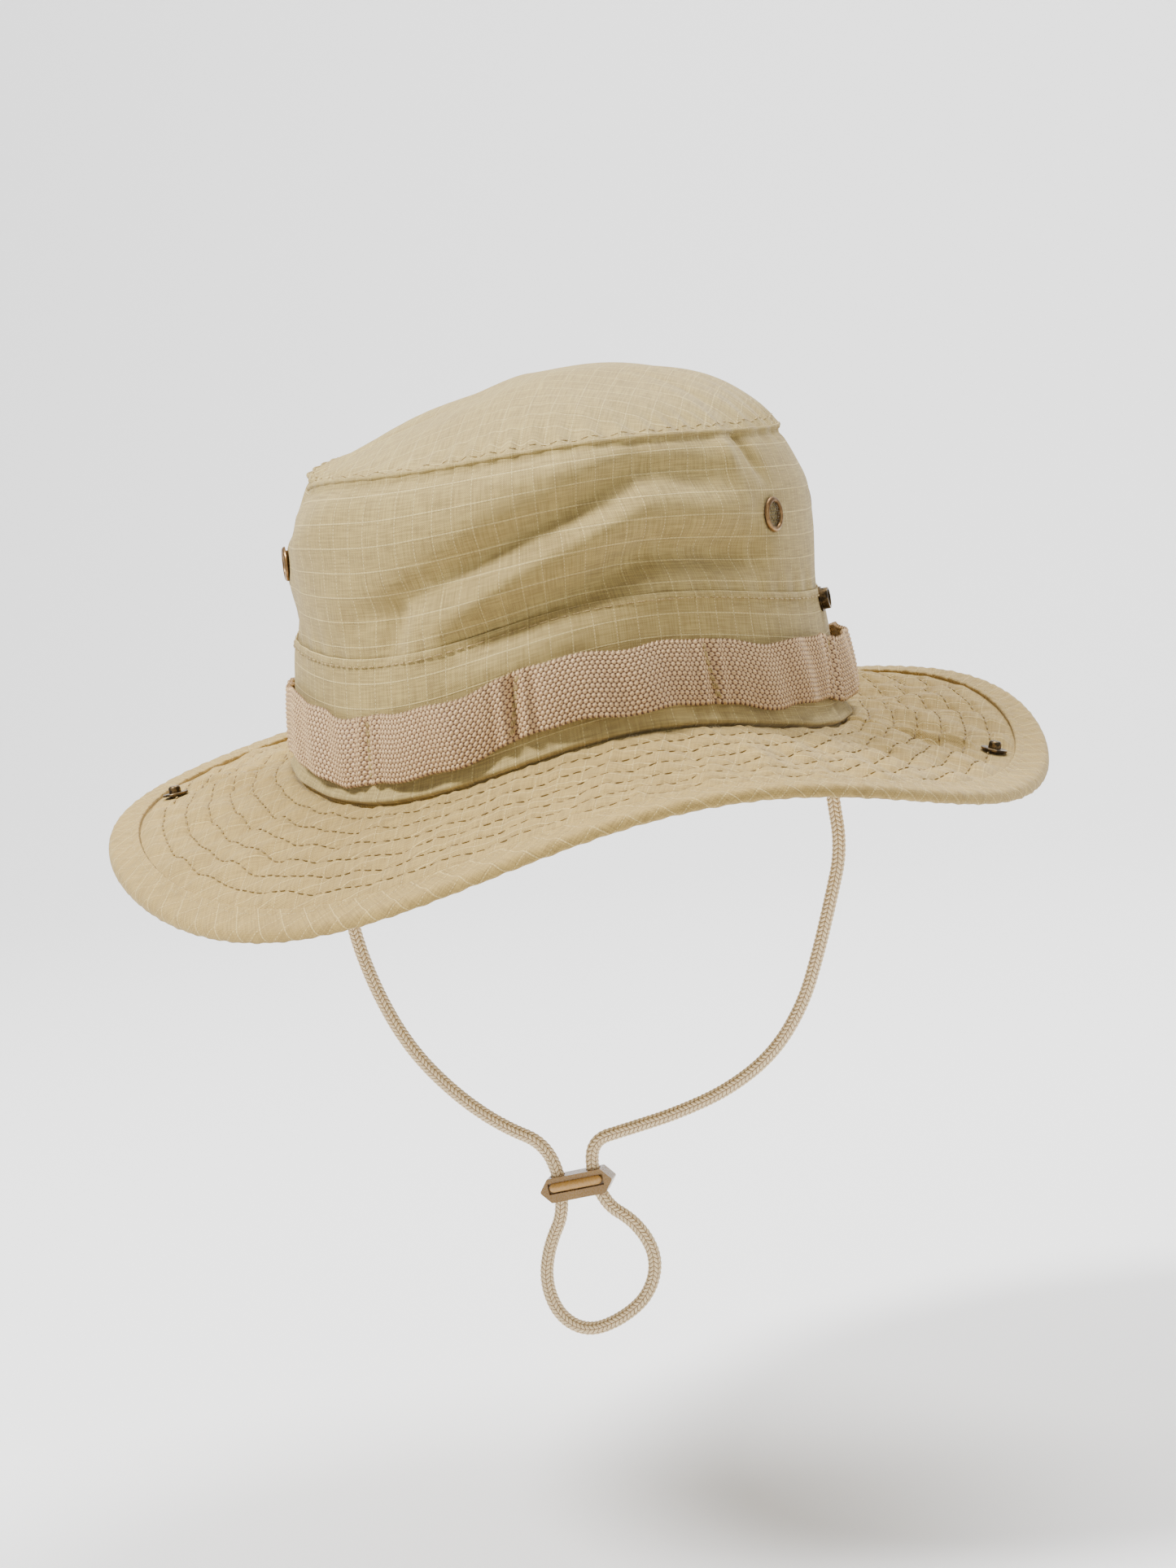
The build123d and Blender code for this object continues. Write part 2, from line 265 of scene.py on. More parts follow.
def brim_edge_height(phi):
    return (-9.3 - 15.3 * np.cos(phi) + 3.4 * np.cos(2 * phi) + 5.9 * np.sin(2 * phi) + 2.3 * np.cos(3 * phi)
            + 6.1 * np.sin(3 * phi) - 1.3 * np.cos(4 * phi) + 3.7 * np.sin(4 * phi))


# Soft folds of the crown: from (angle, height) to (angle, height), half width, and depth outward
CROWN_FOLDS = [
    (54, 80, 34, 83, 6.5, -5.0), (34, 83, 16, 73, 6.5, -7.0), (16, 73, -14, 61, 6.5, -6.8),
    (-14, 61, -34, 54, 6, -3.4), (34, 72, 10, 60, 5, 2.2), (10, 60, -12, 49, 5, 2.2),
    (62, 74, 48, 67, 6, 1.6), (30, 94, -4, 82, 6, 1.2),
    (60, 56, 36, 57, 7, -7.2), (36, 57, 20, 48, 7, -8.4), (20, 48, -8, 40, 7, -7.2),
    (-20, 58, -27, 44, 6, -3.8), (64, 99, 67, 80, 3, -3.0), (57, 98, 58, 82, 4, 2.0),
    (-36, 88, -62, 72, 8, 1.8), (-62, 60, -80, 44, 8, -2.2),
    (100, 92, 140, 58, 11, -3.4), (150, 60, 190, 88, 12, -3.6), (200, 52, 235, 80, 10, -3.0),
    (245, 92, 270, 58, 9, -2.2), (160, 46, 215, 44, 8, -3.0), (120, 50, 95, 44, 8, -2.4),
    (170, 96, 174, 82, 3, -2.0), (-75, 99, -74, 84, 15, -9.5),
]

# The crown's rim stands highest at the back corner and lowest at the slump
BACK_CORNER = math.radians(-125)
LEFT_BACK = math.radians(105)
SLUMP = math.radians(-72)
RIM_LIFT = 4.5
VENTS = (68, -68, 112, -112)
VENT_HEIGHT = 69.0


def crown_folds(phi, z):
    """Outward offset of the crown's cloth at each angle and height."""
    offset = np.zeros(np.broadcast(phi, z).shape)
    for a0, z0, a1, z1, width, depth in CROWN_FOLDS:
        middle = math.radians((a0 + a1) / 2)
        x = turn_from(phi, middle) * CLOTH_RADIUS
        half = math.radians(a1 - a0) / 2 * CLOTH_RADIUS
        start, end = np.array([-half, z0]), np.array([half, z1])
        run = end - start
        length = np.hypot(*run)
        along = ((x - start[0]) * run[0] + (z - start[1]) * run[1]) / length ** 2
        share = np.clip(along, 0, 1)
        away = np.hypot(x - start[0] - run[0] * share, z - start[1] - run[1] * share)
        fade = 0.35 + 0.65 * np.sin(np.pi * np.clip(share, 0.02, 0.98)) ** 0.7
        offset = offset + depth * fade * np.exp(-(away / width) ** 2)
    return offset


def crown_point(phi, z, outward):
    """A point of the crown's outer face, with its folds and the wave of its lower edge."""
    phi, z = np.broadcast_arrays(np.asarray(phi, float), np.asarray(z, float))
    hold = np.clip((z - 31) / 11, 0, 1) * np.clip((101 - z) / 8, 0, 1)
    for vent in VENTS:
        away = np.hypot(turn_from(phi, math.radians(vent)) * VENT_RADIUS, z - VENT_HEIGHT)
        hold = hold * (1 - np.exp(-(away / 10.0) ** 4))
    outward = outward + crown_folds(phi, z) * hold
    half_x = smooth_profile(z, CROWN_HALF_WIDTHS) + outward
    half_y = smooth_profile(z, CROWN_HALF_LENGTHS) + outward
    lift = seam_wave(phi) * (1 - 0.75 * np.clip((z - 20) / 75, 0, 1))
    near_rim = RIM_LIFT * np.clip((z - 55) / 40, 0, 1)
    lift = lift + np.exp(-(turn_from(phi, BACK_CORNER) / 0.55) ** 2) * near_rim
    lift = lift - np.exp(-((phi - SLUMP) / 0.35) ** 2) * near_rim
    return np.stack([half_x * np.sin(phi), -half_y * np.cos(phi), z + lift], -1)


def brim_point(phi, share, lift):
    """A point of the brim's middle surface, share 0 at the seam and 1 at the edge, raised by lift."""
    inner_x, inner_y = BRIM_INNER
    outer_x, outer_y = BRIM_OUTER
    x = (inner_x + (outer_x - inner_x) * share) * np.sin(phi)
    y = -(inner_y + (outer_y - inner_y) * share) * np.cos(phi)
    z = brim_edge_height(phi) * share + seam_wave(phi) * (1 - share) ** 2 + lift
    return np.stack(np.broadcast_arrays(x, y, z), -1)


def round_angles(count):
    """A column of angles once round the hat, starting at its back."""
    return np.linspace(-np.pi, np.pi, count, endpoint=False)[:, None]


def wrap_uv(u, v):
    return np.stack(np.broadcast_arrays(u, v), -1)


# ---------------------------------------------------------------- materials

class Nodes:
    """A material's node tree, written as short expressions."""

    def __init__(self, name):
        self.material = bpy.data.materials.new(name)
        self.material.use_nodes = True
        self.tree = self.material.node_tree
        self.shader = self.tree.nodes["Principled BSDF"]
        uv = self.tree.nodes.new("ShaderNodeUVMap")
        uv.uv_map = "cloth"
        split = self.tree.nodes.new("ShaderNodeSeparateXYZ")
        self.tree.links.new(uv.outputs[0], split.inputs[0])
        self.u, self.v = split.outputs[0], split.outputs[1]
        self.place = self.tree.nodes.new("ShaderNodeTexCoord").outputs["Object"]

    def put(self, socket, value):
        if isinstance(value, bpy.types.NodeSocket):
            self.tree.links.new(value, socket)
        else:
            socket.default_value = value

    def math(self, operation, *values):
        node = self.tree.nodes.new("ShaderNodeMath")
        node.operation = operation
        for socket, value in zip(node.inputs, values):
            self.put(socket, value)
        return node.outputs[0]

    def times(self, a, b):
        return self.math("MULTIPLY", a, b)

    def plus(self, a, b):
        return self.math("ADD", a, b)

    def wave(self, value, pitch):
        return self.math("SINE", self.times(value, TURN / pitch))

    def smooth(self, value, low, high, to_low=0.0, to_high=1.0):
        node = self.tree.nodes.new("ShaderNodeMapRange")
        node.interpolation_type = "SMOOTHSTEP"
        for socket, given in zip(node.inputs, (value, low, high, to_low, to_high)):
            self.put(socket, given)
        return node.outputs[0]

    def vector(self, x, y):
        node = self.tree.nodes.new("ShaderNodeCombineXYZ")
        for socket, value in zip(node.inputs, (x, y)):
            self.put(socket, value)
        return node.outputs[0]

    def noise(self, vector, scale, detail=2.0, rough=0.5):
        node = self.tree.nodes.new("ShaderNodeTexNoise")
        for name, value in (("Vector", vector), ("Scale", scale), ("Detail", detail), ("Roughness", rough)):
            self.put(node.inputs[name], value)
        return node.outputs[0]

    def mix(self, share, a, b):
        node = self.tree.nodes.new("ShaderNodeMix")
        node.data_type = "RGBA"
        for index, value in ((0, share), (6, a), (7, b)):
            self.put(node.inputs[index], value)
        return node.outputs[2]

    def bump(self, height, distance, strength):
        node = self.tree.nodes.new("ShaderNodeBump")
        self.put(node.inputs["Height"], height)
        node.inputs["Distance"].default_value = distance
        node.inputs["Strength"].default_value = strength
        self.tree.links.new(node.outputs[0], self.shader.inputs["Normal"])

    def finish(self, colour, roughness, metallic=0.0, sheen=0.0):
        self.put(self.shader.inputs["Base Color"], colour)
        self.put(self.shader.inputs["Roughness"], roughness)
        self.shader.inputs["Metallic"].default_value = metallic
        self.shader.inputs["Sheen Weight"].default_value = sheen
        self.shader.inputs["Sheen Roughness"].default_value = 0.5
        return self.material


def rgb(red, green, blue):
    """A linear colour from display values of 0 to 255."""
    return tuple(((c / 255 + 0.055) / 1.055) ** 2.4 for c in (red, green, blue)) + (1.0,)


def ripstop_cloth(name, base, pale, dark, turned=0.0):
    """Plain weave with a heavier pale thread every few millimetres both ways, at an angle to the uv."""
    n = Nodes(name)
    cos, sin = math.cos(turned), math.sin(turned)
    u = n.plus(n.times(n.u, cos), n.times(n.v, sin))
    v = n.math("SUBTRACT", n.times(n.v, cos), n.times(n.u, sin))
    drift = n.times(n.math("SUBTRACT", n.noise(n.place, 30.0, 1.0), 0.5), 0.6)
    u = n.plus(u, drift)
    v = n.plus(v, drift)

    def rib(coordinate, width):
        phase = n.math("FRACT", n.math("DIVIDE", coordinate, RIPSTOP))
        away = n.times(n.math("ABSOLUTE", n.math("SUBTRACT", phase, 0.5)), RIPSTOP)
        return n.smooth(away, width, width * 0.35)

    def beads(coordinate, pitch, low):
        return n.smooth(n.wave(coordinate, pitch), -0.6, 0.5, low, 1.0)

    weft = n.times(rib(v, 0.27), beads(u, 1.3, 0.55))
    warp = n.times(rib(u, 0.24), beads(v, 1.05, 0.12))
    ribs = n.math("MAXIMUM", weft, warp)
    streak_u = n.noise(n.vector(n.times(u, 0.10), n.times(v, 1.9)), 1.0, 2.0, 0.6)
    streak_v = n.noise(n.vector(n.times(u, 1.9), n.times(v, 0.10)), 1.0, 2.0, 0.6)
    streaks = n.times(n.plus(streak_u, streak_v), 0.5)
    weave = n.times(n.wave(u, THREAD_PITCH), n.wave(v, THREAD_PITCH))
    blotch = n.noise(n.place, 22.0, 3.0, 0.55)
    colour = n.mix(n.smooth(streaks, 0.34, 0.66), dark, base)
    colour = n.mix(n.times(n.smooth(weave, -1.0, 1.0), 0.20), colour, pale)
    colour = n.mix(n.times(n.smooth(blotch, 0.35, 0.75), 0.22), colour, dark)
    colour = n.mix(n.times(ribs, 0.55), colour, pale)
    height = n.plus(n.times(ribs, 1.0), n.times(weave, 0.22))
    height = n.plus(height, n.times(streaks, 1.1))
    n.bump(height, 0.00022, 0.75)
    return n.finish(colour, n.smooth(streaks, 0.3, 0.7, 0.86, 0.74), sheen=0.12)


def thread_material(name, base, dark):
    n = Nodes(name)
    twist = n.noise(n.place, 2600.0, 1.0)
    n.bump(twist, 0.0001, 0.6)
    return n.finish(n.mix(n.smooth(twist, 0.35, 0.65), dark, base), 0.62, sheen=0.1)


WARP_PITCH = 1.43
WEFT_PITCH = 0.86


def webbing_material():
    """The yarns are in the mesh. This adds their fibres, the gloss of nylon and painted shade in the low
    spots between them.
    """
    n = Nodes("webbing_yarn")
    fibre = n.noise(n.vector(n.times(n.u, 0.8), n.times(n.v, 7.0)), 1.0, 2.0, 0.6)
    odd = n.times(n.math("MODULO", n.math("FLOOR", n.math("DIVIDE", n.v, WARP_PITCH)), 2.0), 0.5)
    turn_u = n.plus(n.math("DIVIDE", n.u, 2 * WEFT_PITCH), odd)
    turn_v = n.math("SUBTRACT", n.math("DIVIDE", n.v, WARP_PITCH), 0.5)
    height_u = n.math("COSINE", n.times(turn_u, TURN))
    height_v = n.math("COSINE", n.times(turn_v, TURN))
    raised = n.plus(n.times(height_u, 0.68), n.times(height_v, 0.32))
    colour = n.mix(n.smooth(fibre, 0.35, 0.65), rgb(160, 124, 78), rgb(228, 194, 146))
    # Painted shade: the low spots between the yarns are darkened toward deep brown.
    colour = n.mix(n.smooth(raised, 0.10, -0.60), colour, rgb(92, 60, 32))
    n.bump(fibre, 0.00012, 0.6)
    return n.finish(colour, n.smooth(fibre, 0.3, 0.7, 0.42, 0.58), sheen=0.05)


# The cord's braid: yarns in columns that lean left and right by turns, so each pair of columns makes a V
BRAID_COLUMNS = 8
BRAID_PITCH = 1.5
BRAID_LEAN = 0.8
BRAID_RELIEF = 0.55
BRAID_STEP = 0.28
COLUMN_POINTS = 9


def cord_material():
    """Its uv is the distance along the cord and the number of columns round it."""
    n = Nodes("cord_yarn")
    fibre = n.noise(n.vector(n.times(n.u, 3.0), n.times(n.v, 4.0)), 1.0, 2.0, 0.6)
    inside = n.math("FRACT", n.v)
    lean = n.math("PINGPONG", n.v, 1.0)
    phase = n.plus(n.math("DIVIDE", n.u, BRAID_PITCH), n.times(lean, BRAID_LEAN))
    ridge = n.math("ABSOLUTE", n.math("SINE", n.times(phase, math.pi)))
    crown = n.math("SINE", n.times(inside, math.pi))
    # Painted shade: the grooves between the braid's yarns and between its columns are darkened toward brown.
    gap = n.math("MAXIMUM", n.smooth(ridge, 0.52, 0.12), n.smooth(crown, 0.42, 0.05))
    colour = n.mix(n.smooth(fibre, 0.35, 0.65), rgb(224, 194, 142), rgb(252, 232, 190))
    colour = n.mix(n.times(gap, 0.95), colour, rgb(130, 92, 46))
    n.bump(fibre, 0.0001, 0.5)
    return n.finish(colour, 0.5, sheen=0.1)


def metal_material(name, base, worn, scale):
    n = Nodes(name)
    patina = n.noise(n.place, scale, 4.0, 0.6)
    colour = n.mix(n.smooth(patina, 0.42, 0.62), base, worn)
    n.bump(patina, 0.00005, 0.4)
    return n.finish(colour, n.smooth(patina, 0.35, 0.7, 0.5, 0.3), metallic=0.85)


def plastic_material(name, base, dark):
    """Moulded plastic with a fine grain and faint flow marks."""
    n = Nodes(name)
    grain = n.noise(n.place, 1800.0, 2.0)
    flow = n.noise(n.place, 90.0, 3.0)
    n.bump(grain, 0.00003, 0.5)
    colour = n.mix(n.times(n.smooth(flow, 0.35, 0.7), 0.5), base, dark)
    return n.finish(colour, n.smooth(grain, 0.3, 0.7, 0.24, 0.32))


def plain_tape_material(name, base, dark):
    n = Nodes(name)
    rib = n.wave(n.u, 0.9)
    twill = n.wave(n.plus(n.u, n.v), 1.1)
    fibre = n.noise(n.place, 900.0, 2.0)
    height = n.plus(n.times(rib, 0.3), n.plus(twill, fibre))
    colour = n.mix(n.smooth(twill, -0.8, 0.8), dark, base)
    n.bump(height, 0.00012, 0.5)
    return n.finish(colour, 0.85, sheen=0.1)


KHAKI = rgb(168, 139, 68)
KHAKI_PALE = rgb(224, 197, 129)
KHAKI_DARK = rgb(127, 102, 47)
CROWN_CLOTH = ripstop_cloth("crown_ripstop_cloth", rgb(167, 144, 80), rgb(226, 203, 138), rgb(120, 99, 50))
BRIM_CLOTH = ripstop_cloth("brim_ripstop_cloth", KHAKI, KHAKI_PALE, KHAKI_DARK)
BIAS_CLOTH = ripstop_cloth("bias_ripstop_cloth", KHAKI, KHAKI_PALE, KHAKI_DARK, turned=math.pi / 4)
THREAD = thread_material("khaki_thread", rgb(190, 164, 104), rgb(126, 102, 54))
# The quilting thread is the cloth's colour, darkened with painted shade for the small shadows at each stitch.
SHADED_QUILT_THREAD = thread_material("quilting_thread_shaded", rgb(148, 122, 64), rgb(116, 93, 46))
WEBBING = webbing_material()
CORD_YARN = cord_material()
BRASS = metal_material("antique_brass_metal", rgb(104, 78, 48), rgb(146, 114, 74), 260.0)
BRONZE = metal_material("dark_bronze_metal", rgb(54, 44, 30), rgb(120, 98, 66), 520.0)
WIRE = metal_material("screen_wire_metal", rgb(96, 84, 62), rgb(160, 148, 122), 700.0)
SLIDER_PLASTIC = plastic_material("slider_moulding", rgb(142, 108, 54), rgb(118, 88, 42))
# Painted light: the bar is the slider's plastic, given a lighter colour than the body for the light it
# catches.
LIT_BAR_PLASTIC = plastic_material("slider_bar_moulding_lit", rgb(182, 140, 78), rgb(156, 118, 62))
SWEATBAND_TAPE = plain_tape_material("sweatband_twill", rgb(176, 160, 122), rgb(138, 122, 88))
ANCHOR_TAPE = plain_tape_material("anchor_twill", rgb(190, 172, 132), rgb(148, 132, 94))


# ---------------------------------------------------------------- stitches

def stitch_shape():
    """A small cocoon along X, six-sided, as points from -1 to 1 and its quads."""
    rings = [(-1.0, 0.25), (-0.6, 0.85), (0.0, 1.0), (0.6, 0.85), (1.0, 0.25)]
    sides = 6
    points = [(x, r * math.cos(TURN * k / sides), r * math.sin(TURN * k / sides)) for x, r in rings
              for k in range(sides)]
    faces = []
    for ring in range(len(rings) - 1):
        for k in range(sides):
            a, b = ring * sides + k, ring * sides + (k + 1) % sides
            faces.append((a, b, b + sides, a + sides))
    for ring in (0, len(rings) - 1):
        c = [ring * sides + k for k in range(sides)]
        caps = [(c[0], c[1], c[2], c[3]), (c[0], c[3], c[4], c[5])]
        faces += [f if ring else f[::-1] for f in caps]
    return np.array(points), np.array(faces)


def stitch_row(path, normals, length, gap, radius):
    """Places of the stitches along a dense path: middles, directions and normals."""
    travel = travelled(path)
    count = max(int(travel[-1] / (length + gap)), 1)
    spots = (np.arange(count) + 0.5) * travel[-1] / count
    pick = lambda data, at: np.stack([np.interp(at, travel, data[:, k]) for k in range(3)], -1)
    middle = pick(path, spots)
    along = unit(pick(path, spots + length / 2) - pick(path, spots - length / 2))
    return middle, along, unit(pick(normals, spots)), length, radius


def stitches(name, rows, material=None, sign=None, rise=0.25):
    """One mesh of all the stitches in rows, or only those on one side of the plane X = 0.

    rise is how far they stand off the cloth, as a share of their radius."""
    shape, quads = stitch_shape()
    points, faces, count = [], [], 0
    for middle, along, normal, length, radius in rows:
        if sign:
            keep = middle[:, 0] * sign > 0
            middle, along, normal = middle[keep], along[keep], normal[keep]
        side = np.cross(normal, along)
        scaled = shape * (length / 2, radius, radius * 0.8) + (0, 0, radius * rise)
        placed = middle[:, None] + scaled[None] @ np.stack([along, side, normal], 1)
        points.append(placed.reshape(-1, 3))
        firsts = count + np.arange(len(middle)) * len(shape)
        faces.append((quads[None] + firsts[:, None, None]).reshape(-1, 4))
        count += len(points[-1])
    faces = np.concatenate(faces)
    uv = np.concatenate(points)[faces.ravel()][:, :2]
    return write_mesh(name, np.concatenate(points), faces, uv, material=material or THREAD)


def facing(row, face):
    """The row with its normals turned up (face 1) or down (face -1)."""
    middle, along, normal, length, radius = row
    return middle, along, normal * np.sign(normal[:, 2:3]) * face, length, radius


def ring_row(point_at, length=2.6, gap=0.7, radius=0.27, count=1400):
    """Stitches along a ring given by a function from angles to points; normals come from nearby points."""
    phi = np.linspace(-np.pi, np.pi, count)
    path, beside = point_at(phi, 0.0), point_at(phi, 0.5)
    along = np.gradient(path, axis=0)
    normals = unit(np.cross(along, beside - path))
    return stitch_row(path, normals, length, gap, radius)


# ---------------------------------------------------------------- crown cloth

CROWN_STEPS = 560
RIM_HEIGHT = 96.5


def crown_fine(phi, z):
    """Small creases and the puckers along the top seam and the band."""
    fine = 0.35 * np.sin(9 * phi + z / 9.0 + 1.7 * np.sin(3 * phi)) * np.sin(5 * phi - z / 14.0)
    seam = np.exp(-((z - CROWN_SEAM) / 5.0) ** 2)
    pucker = seam_pucker(phi) * (0.35 + 0.3 * np.sin(4 * phi + 1.0))
    band = np.exp(-((z - BAND_TOP) / 6.0) ** 2)
    groove = -0.6 * np.exp(-((z - CROWN_SEAM + 2.0) / 1.1) ** 2)
    return fine + groove + seam * pucker * 0.8 + band * 0.3 * np.sin(47 * phi + np.sin(5 * phi))


def arc_uv(phi, z):
    """uv round the crown, with one more row that closes the turn."""
    return wrap_uv(np.append(phi, np.pi)[:, None] * CLOTH_RADIUS, z)


def seam_pucker(phi):
    return np.sin(61 * phi + 2.0 * np.sin(7 * phi))


def make_sidewall():
    phi = round_angles(CROWN_STEPS)
    z = np.linspace(SIDEWALL_BOTTOM, CROWN_SEAM, 92)
    outer = crown_point(phi, z, crown_fine(phi, z) - LAP_OFFSET)
    obj = thick(outer, arc_uv(phi, z), CLOTH).build("crown_sidewall_cloth", CROWN_CLOTH)
    on_crown(obj, "crown_ripstop", "crown_sidewall")


def make_lower_band():
    """The lower band: its upper edge is folded in and stands a little proud of the sidewall."""
    phi = round_angles(CROWN_STEPS)
    z = np.concatenate([np.linspace(-0.5, BAND_TOP - 3, 60), np.linspace(BAND_TOP - 2.4, BAND_TOP, 8)])
    lip = np.interp(z, [-0.5, 0.9, 1.7, 2.6, 4.2, 7, BAND_TOP - 3, BAND_TOP - 1.8, BAND_TOP - 0.5, BAND_TOP],
                    [-0.2, 0.0, 2.1, 2.3, 1.2, 0.1, 0.1, 0.45, 0.4, -0.1])
    slack = 0.25 * np.sin(23 * phi + z / 6) * np.clip(1 - z / 30, 0, 1)
    outer = crown_point(phi, z, lip + slack + crown_fine(phi, z) * 0.5)
    obj = thick(outer, arc_uv(phi, z + 3.3), CLOTH).build("crown_lower_band_cloth", CROWN_CLOTH)
    on_crown(obj, "crown_ripstop", "crown_lower_band")
    stitched = BAND_TOP - 2.2
    row = ring_row(lambda a, s: crown_point(a, stitched + s, 0.5 + 0.5 * crown_fine(a, stitched)))
    on_crown(stitches("band_topstitch", [row]), "crown_ripstop")


def dome_point(phi, t):
    """A point of the top panel, t 0 at its middle and 1 at the seam."""
    phi, t = np.broadcast_arrays(np.asarray(phi, float), np.asarray(t, float))
    edge = crown_point(phi, CROWN_SEAM, crown_fine(phi, CROWN_SEAM) - LAP_OFFSET + 0.25)
    x, y = edge[..., 0] * t, edge[..., 1] * t
    fullness = 2.1 + 0.8 * np.sin(phi) + 2.0 * np.exp(-(turn_from(phi, LEFT_BACK) / 0.9) ** 2)
    rise = DOME_RISE * np.clip(1 - t ** fullness, 0, 1)
    broad = 1.3 * np.sin(x / 19 + y / 31 + 0.6) * np.cos(y / 23 - x / 47)
    small = 0.7 * np.sin(x / 9 - y / 13 + 1.0) * np.sin(y / 17 + 0.5)
    dents = (broad + small) * np.sin(np.pi * np.clip(t, 0, 1)) ** 0.6
    radial = 0.5 * seam_pucker(phi) * np.exp(-((t - 0.96) / 0.06) ** 2)
    notch = -1.2 * np.exp(-(turn_from(phi, BACK_CORNER) / 0.75) ** 2 - ((t - 0.80) / 0.18) ** 2)
    z = edge[..., 2] * t + RIM_HEIGHT * (1 - t) + rise + dents + radial + notch
    return np.stack([x, y, z], -1)


def make_crown_top():
    """The domed top panel, with the hollows and creases of soft cloth."""
    phi = round_angles(CROWN_STEPS)
    t = np.linspace(1.0, 0.004, 86)
    outer = dome_point(phi, t)
    uv = np.concatenate([outer, outer[:1]], 0)[..., :2]
    obj = thick(outer, uv, CLOTH).build("crown_top_cloth", CROWN_CLOTH)
    on_crown(obj, "crown_ripstop", "crown_top")


def make_top_seam():
    """The welt where the top panel meets the sidewall, with a row of stitches above it."""
    phi = round_angles(CROWN_STEPS)
    turn = np.linspace(0, TURN, 9)
    base = crown_point(phi, CROWN_SEAM, crown_fine(phi, CROWN_SEAM) - LAP_OFFSET)
    outward = unit(base * (1, 1, 0)) * np.cos(turn)[:, None] * 0.7
    upward = np.array([0, 0, 1.0]) * np.sin(turn)[:, None]
    radius = 0.75 + 0.15 * seam_pucker(phi)[..., None]
    ring = base + radius * (outward + upward)
    welt = Sheets().add(ring, arc_uv(phi, turn), flip=True).build("crown_top_welt", CROWN_CLOTH)
    row = ring_row(lambda a, s: dome_point(a, 0.972 - s / 90.0), length=2.4, gap=0.9, radius=0.25)
    on_crown(welt, "crown_ripstop")
    on_crown(stitches("crown_top_stitches", [row]), "crown_ripstop")


# ---------------------------------------------------------------- webbing

WEBBING_STEPS = 2400
TACKS = np.radians([3, 43, 83, 123, 163, 203, 243, 286, 329, 363])
LOOPS = len(TACKS) - 1
# How far each loop between two tacks stands out, and to which side its belly leans
LOOP_SLACK = np.array([3.8, 3.6, 4.6, 2.8, 3.2, 2.6, 0.8, 2.8, 4.8])
LOOP_LEAN = np.array([0.75, 1.2, 1.0, 1.15, 0.9, 1.1, 1.0, 0.85, 1.25])


def webbing_loops(phi):
    """Which loop each angle is in, how far along it, and the distance to the nearest tack."""
    angle = (phi - TACKS[0]) % TURN + TACKS[0]
    loop = np.clip(np.searchsorted(TACKS, angle, side="right") - 1, 0, LOOPS - 1)
    share = (angle - TACKS[loop]) / (TACKS[loop + 1] - TACKS[loop])
    away = np.minimum(angle - TACKS[loop], TACKS[loop + 1] - angle) * TACK_RADIUS
    return loop, share, away


def webbing_surface(phi, across, lift):
    """across runs from 0 at the tape's lower edge to 1 at its upper edge."""
    loop, share, away = webbing_loops(phi)
    belly = LOOP_SLACK[loop] * np.sin(np.pi * share ** LOOP_LEAN[loop]) ** 0.7
    pinch = np.exp(-(away / 1.4) ** 2)
    side_fold = 0.9 * np.exp(-((away - 3.6) / 1.5) ** 2) - 0.5 * np.exp(-((away - 7.0) / 1.6) ** 2)
    free = 1 - np.exp(-(away / 5.0) ** 2)
    z = WEBBING_LOW + (WEBBING_HIGH - WEBBING_LOW) * across
    drop = 1.1 * np.sin(5 * phi + 0.8) + 0.8 * np.sin(11 * phi) + 0.5 * np.sin(23 * phi + 1.0) * free
    tilt = 1.5 * np.sin(4.5 * phi + 2.0) * (across - 0.5) * free
    ripple = 0.8 * np.sin(33 * phi + 2.4 * across) * np.sin(5 * phi + 2) * free
    cup = -0.6 * (2 * across - 1) ** 2 * free
    outward = 0.9 + belly + ripple + cup + tilt + side_fold - 0.5 * pinch + lift
    return crown_point(phi, z + drop, outward)


def make_webbing():
    """Coarse tape: rows of yarns pass over and under, so its face is all small rounded bumps."""
    phi = round_angles(WEBBING_STEPS)
    across = np.linspace(0, 1, 66)
    travel = (phi + np.pi) * WEBBING_RADIUS
    width = (WEBBING_HIGH - WEBBING_LOW) * across
    column = np.floor(width / WARP_PITCH)
    bump_u = np.cos(TURN * (travel / (2 * WEFT_PITCH) + 0.5 * (column % 2)))
    bump_v = np.cos(TURN * (width / WARP_PITCH - 0.5))
    window = np.abs(np.sin(np.pi * width / WARP_PITCH)) ** 0.6
    yarn = 0.20 * bump_u * window + 0.12 * bump_v
    edges = (across < 0.03) | (across > 0.97)
    scallop = np.where(edges, 0.35 * np.sin(TURN * travel / WEFT_PITCH), 0)
    outer = webbing_surface(phi, across, 0.5 + yarn)
    outer[..., 2] += scallop * np.where(across < 0.5, -1, 1)
    back = webbing_surface(phi, across[::3], -0.45)
    uv = wrap_uv(np.append(travel, TURN * WEBBING_RADIUS)[:, None], width)
    sheets = Sheets().add(outer, uv).add(back, uv[:, ::3], flip=True)
    for edge, flip, bulge in ((0, True, -0.25), (-1, False, 0.25)):
        middle = (outer[:, edge] + back[:, edge]) / 2 + (0, 0, bulge)
        side = np.stack([outer[:, edge], middle, back[:, edge]], 1)
        side_uv = np.stack([uv[:, edge], uv[:, edge] + (0, 0.5), uv[:, edge] + (0, 1.0)], 1)
        sheets.add(side, side_uv, flip=flip)
    obj = sheets.build("branch_loop_tape", WEBBING)
    on_crown(obj, "webbing_weave", "branch_loop_webbing")


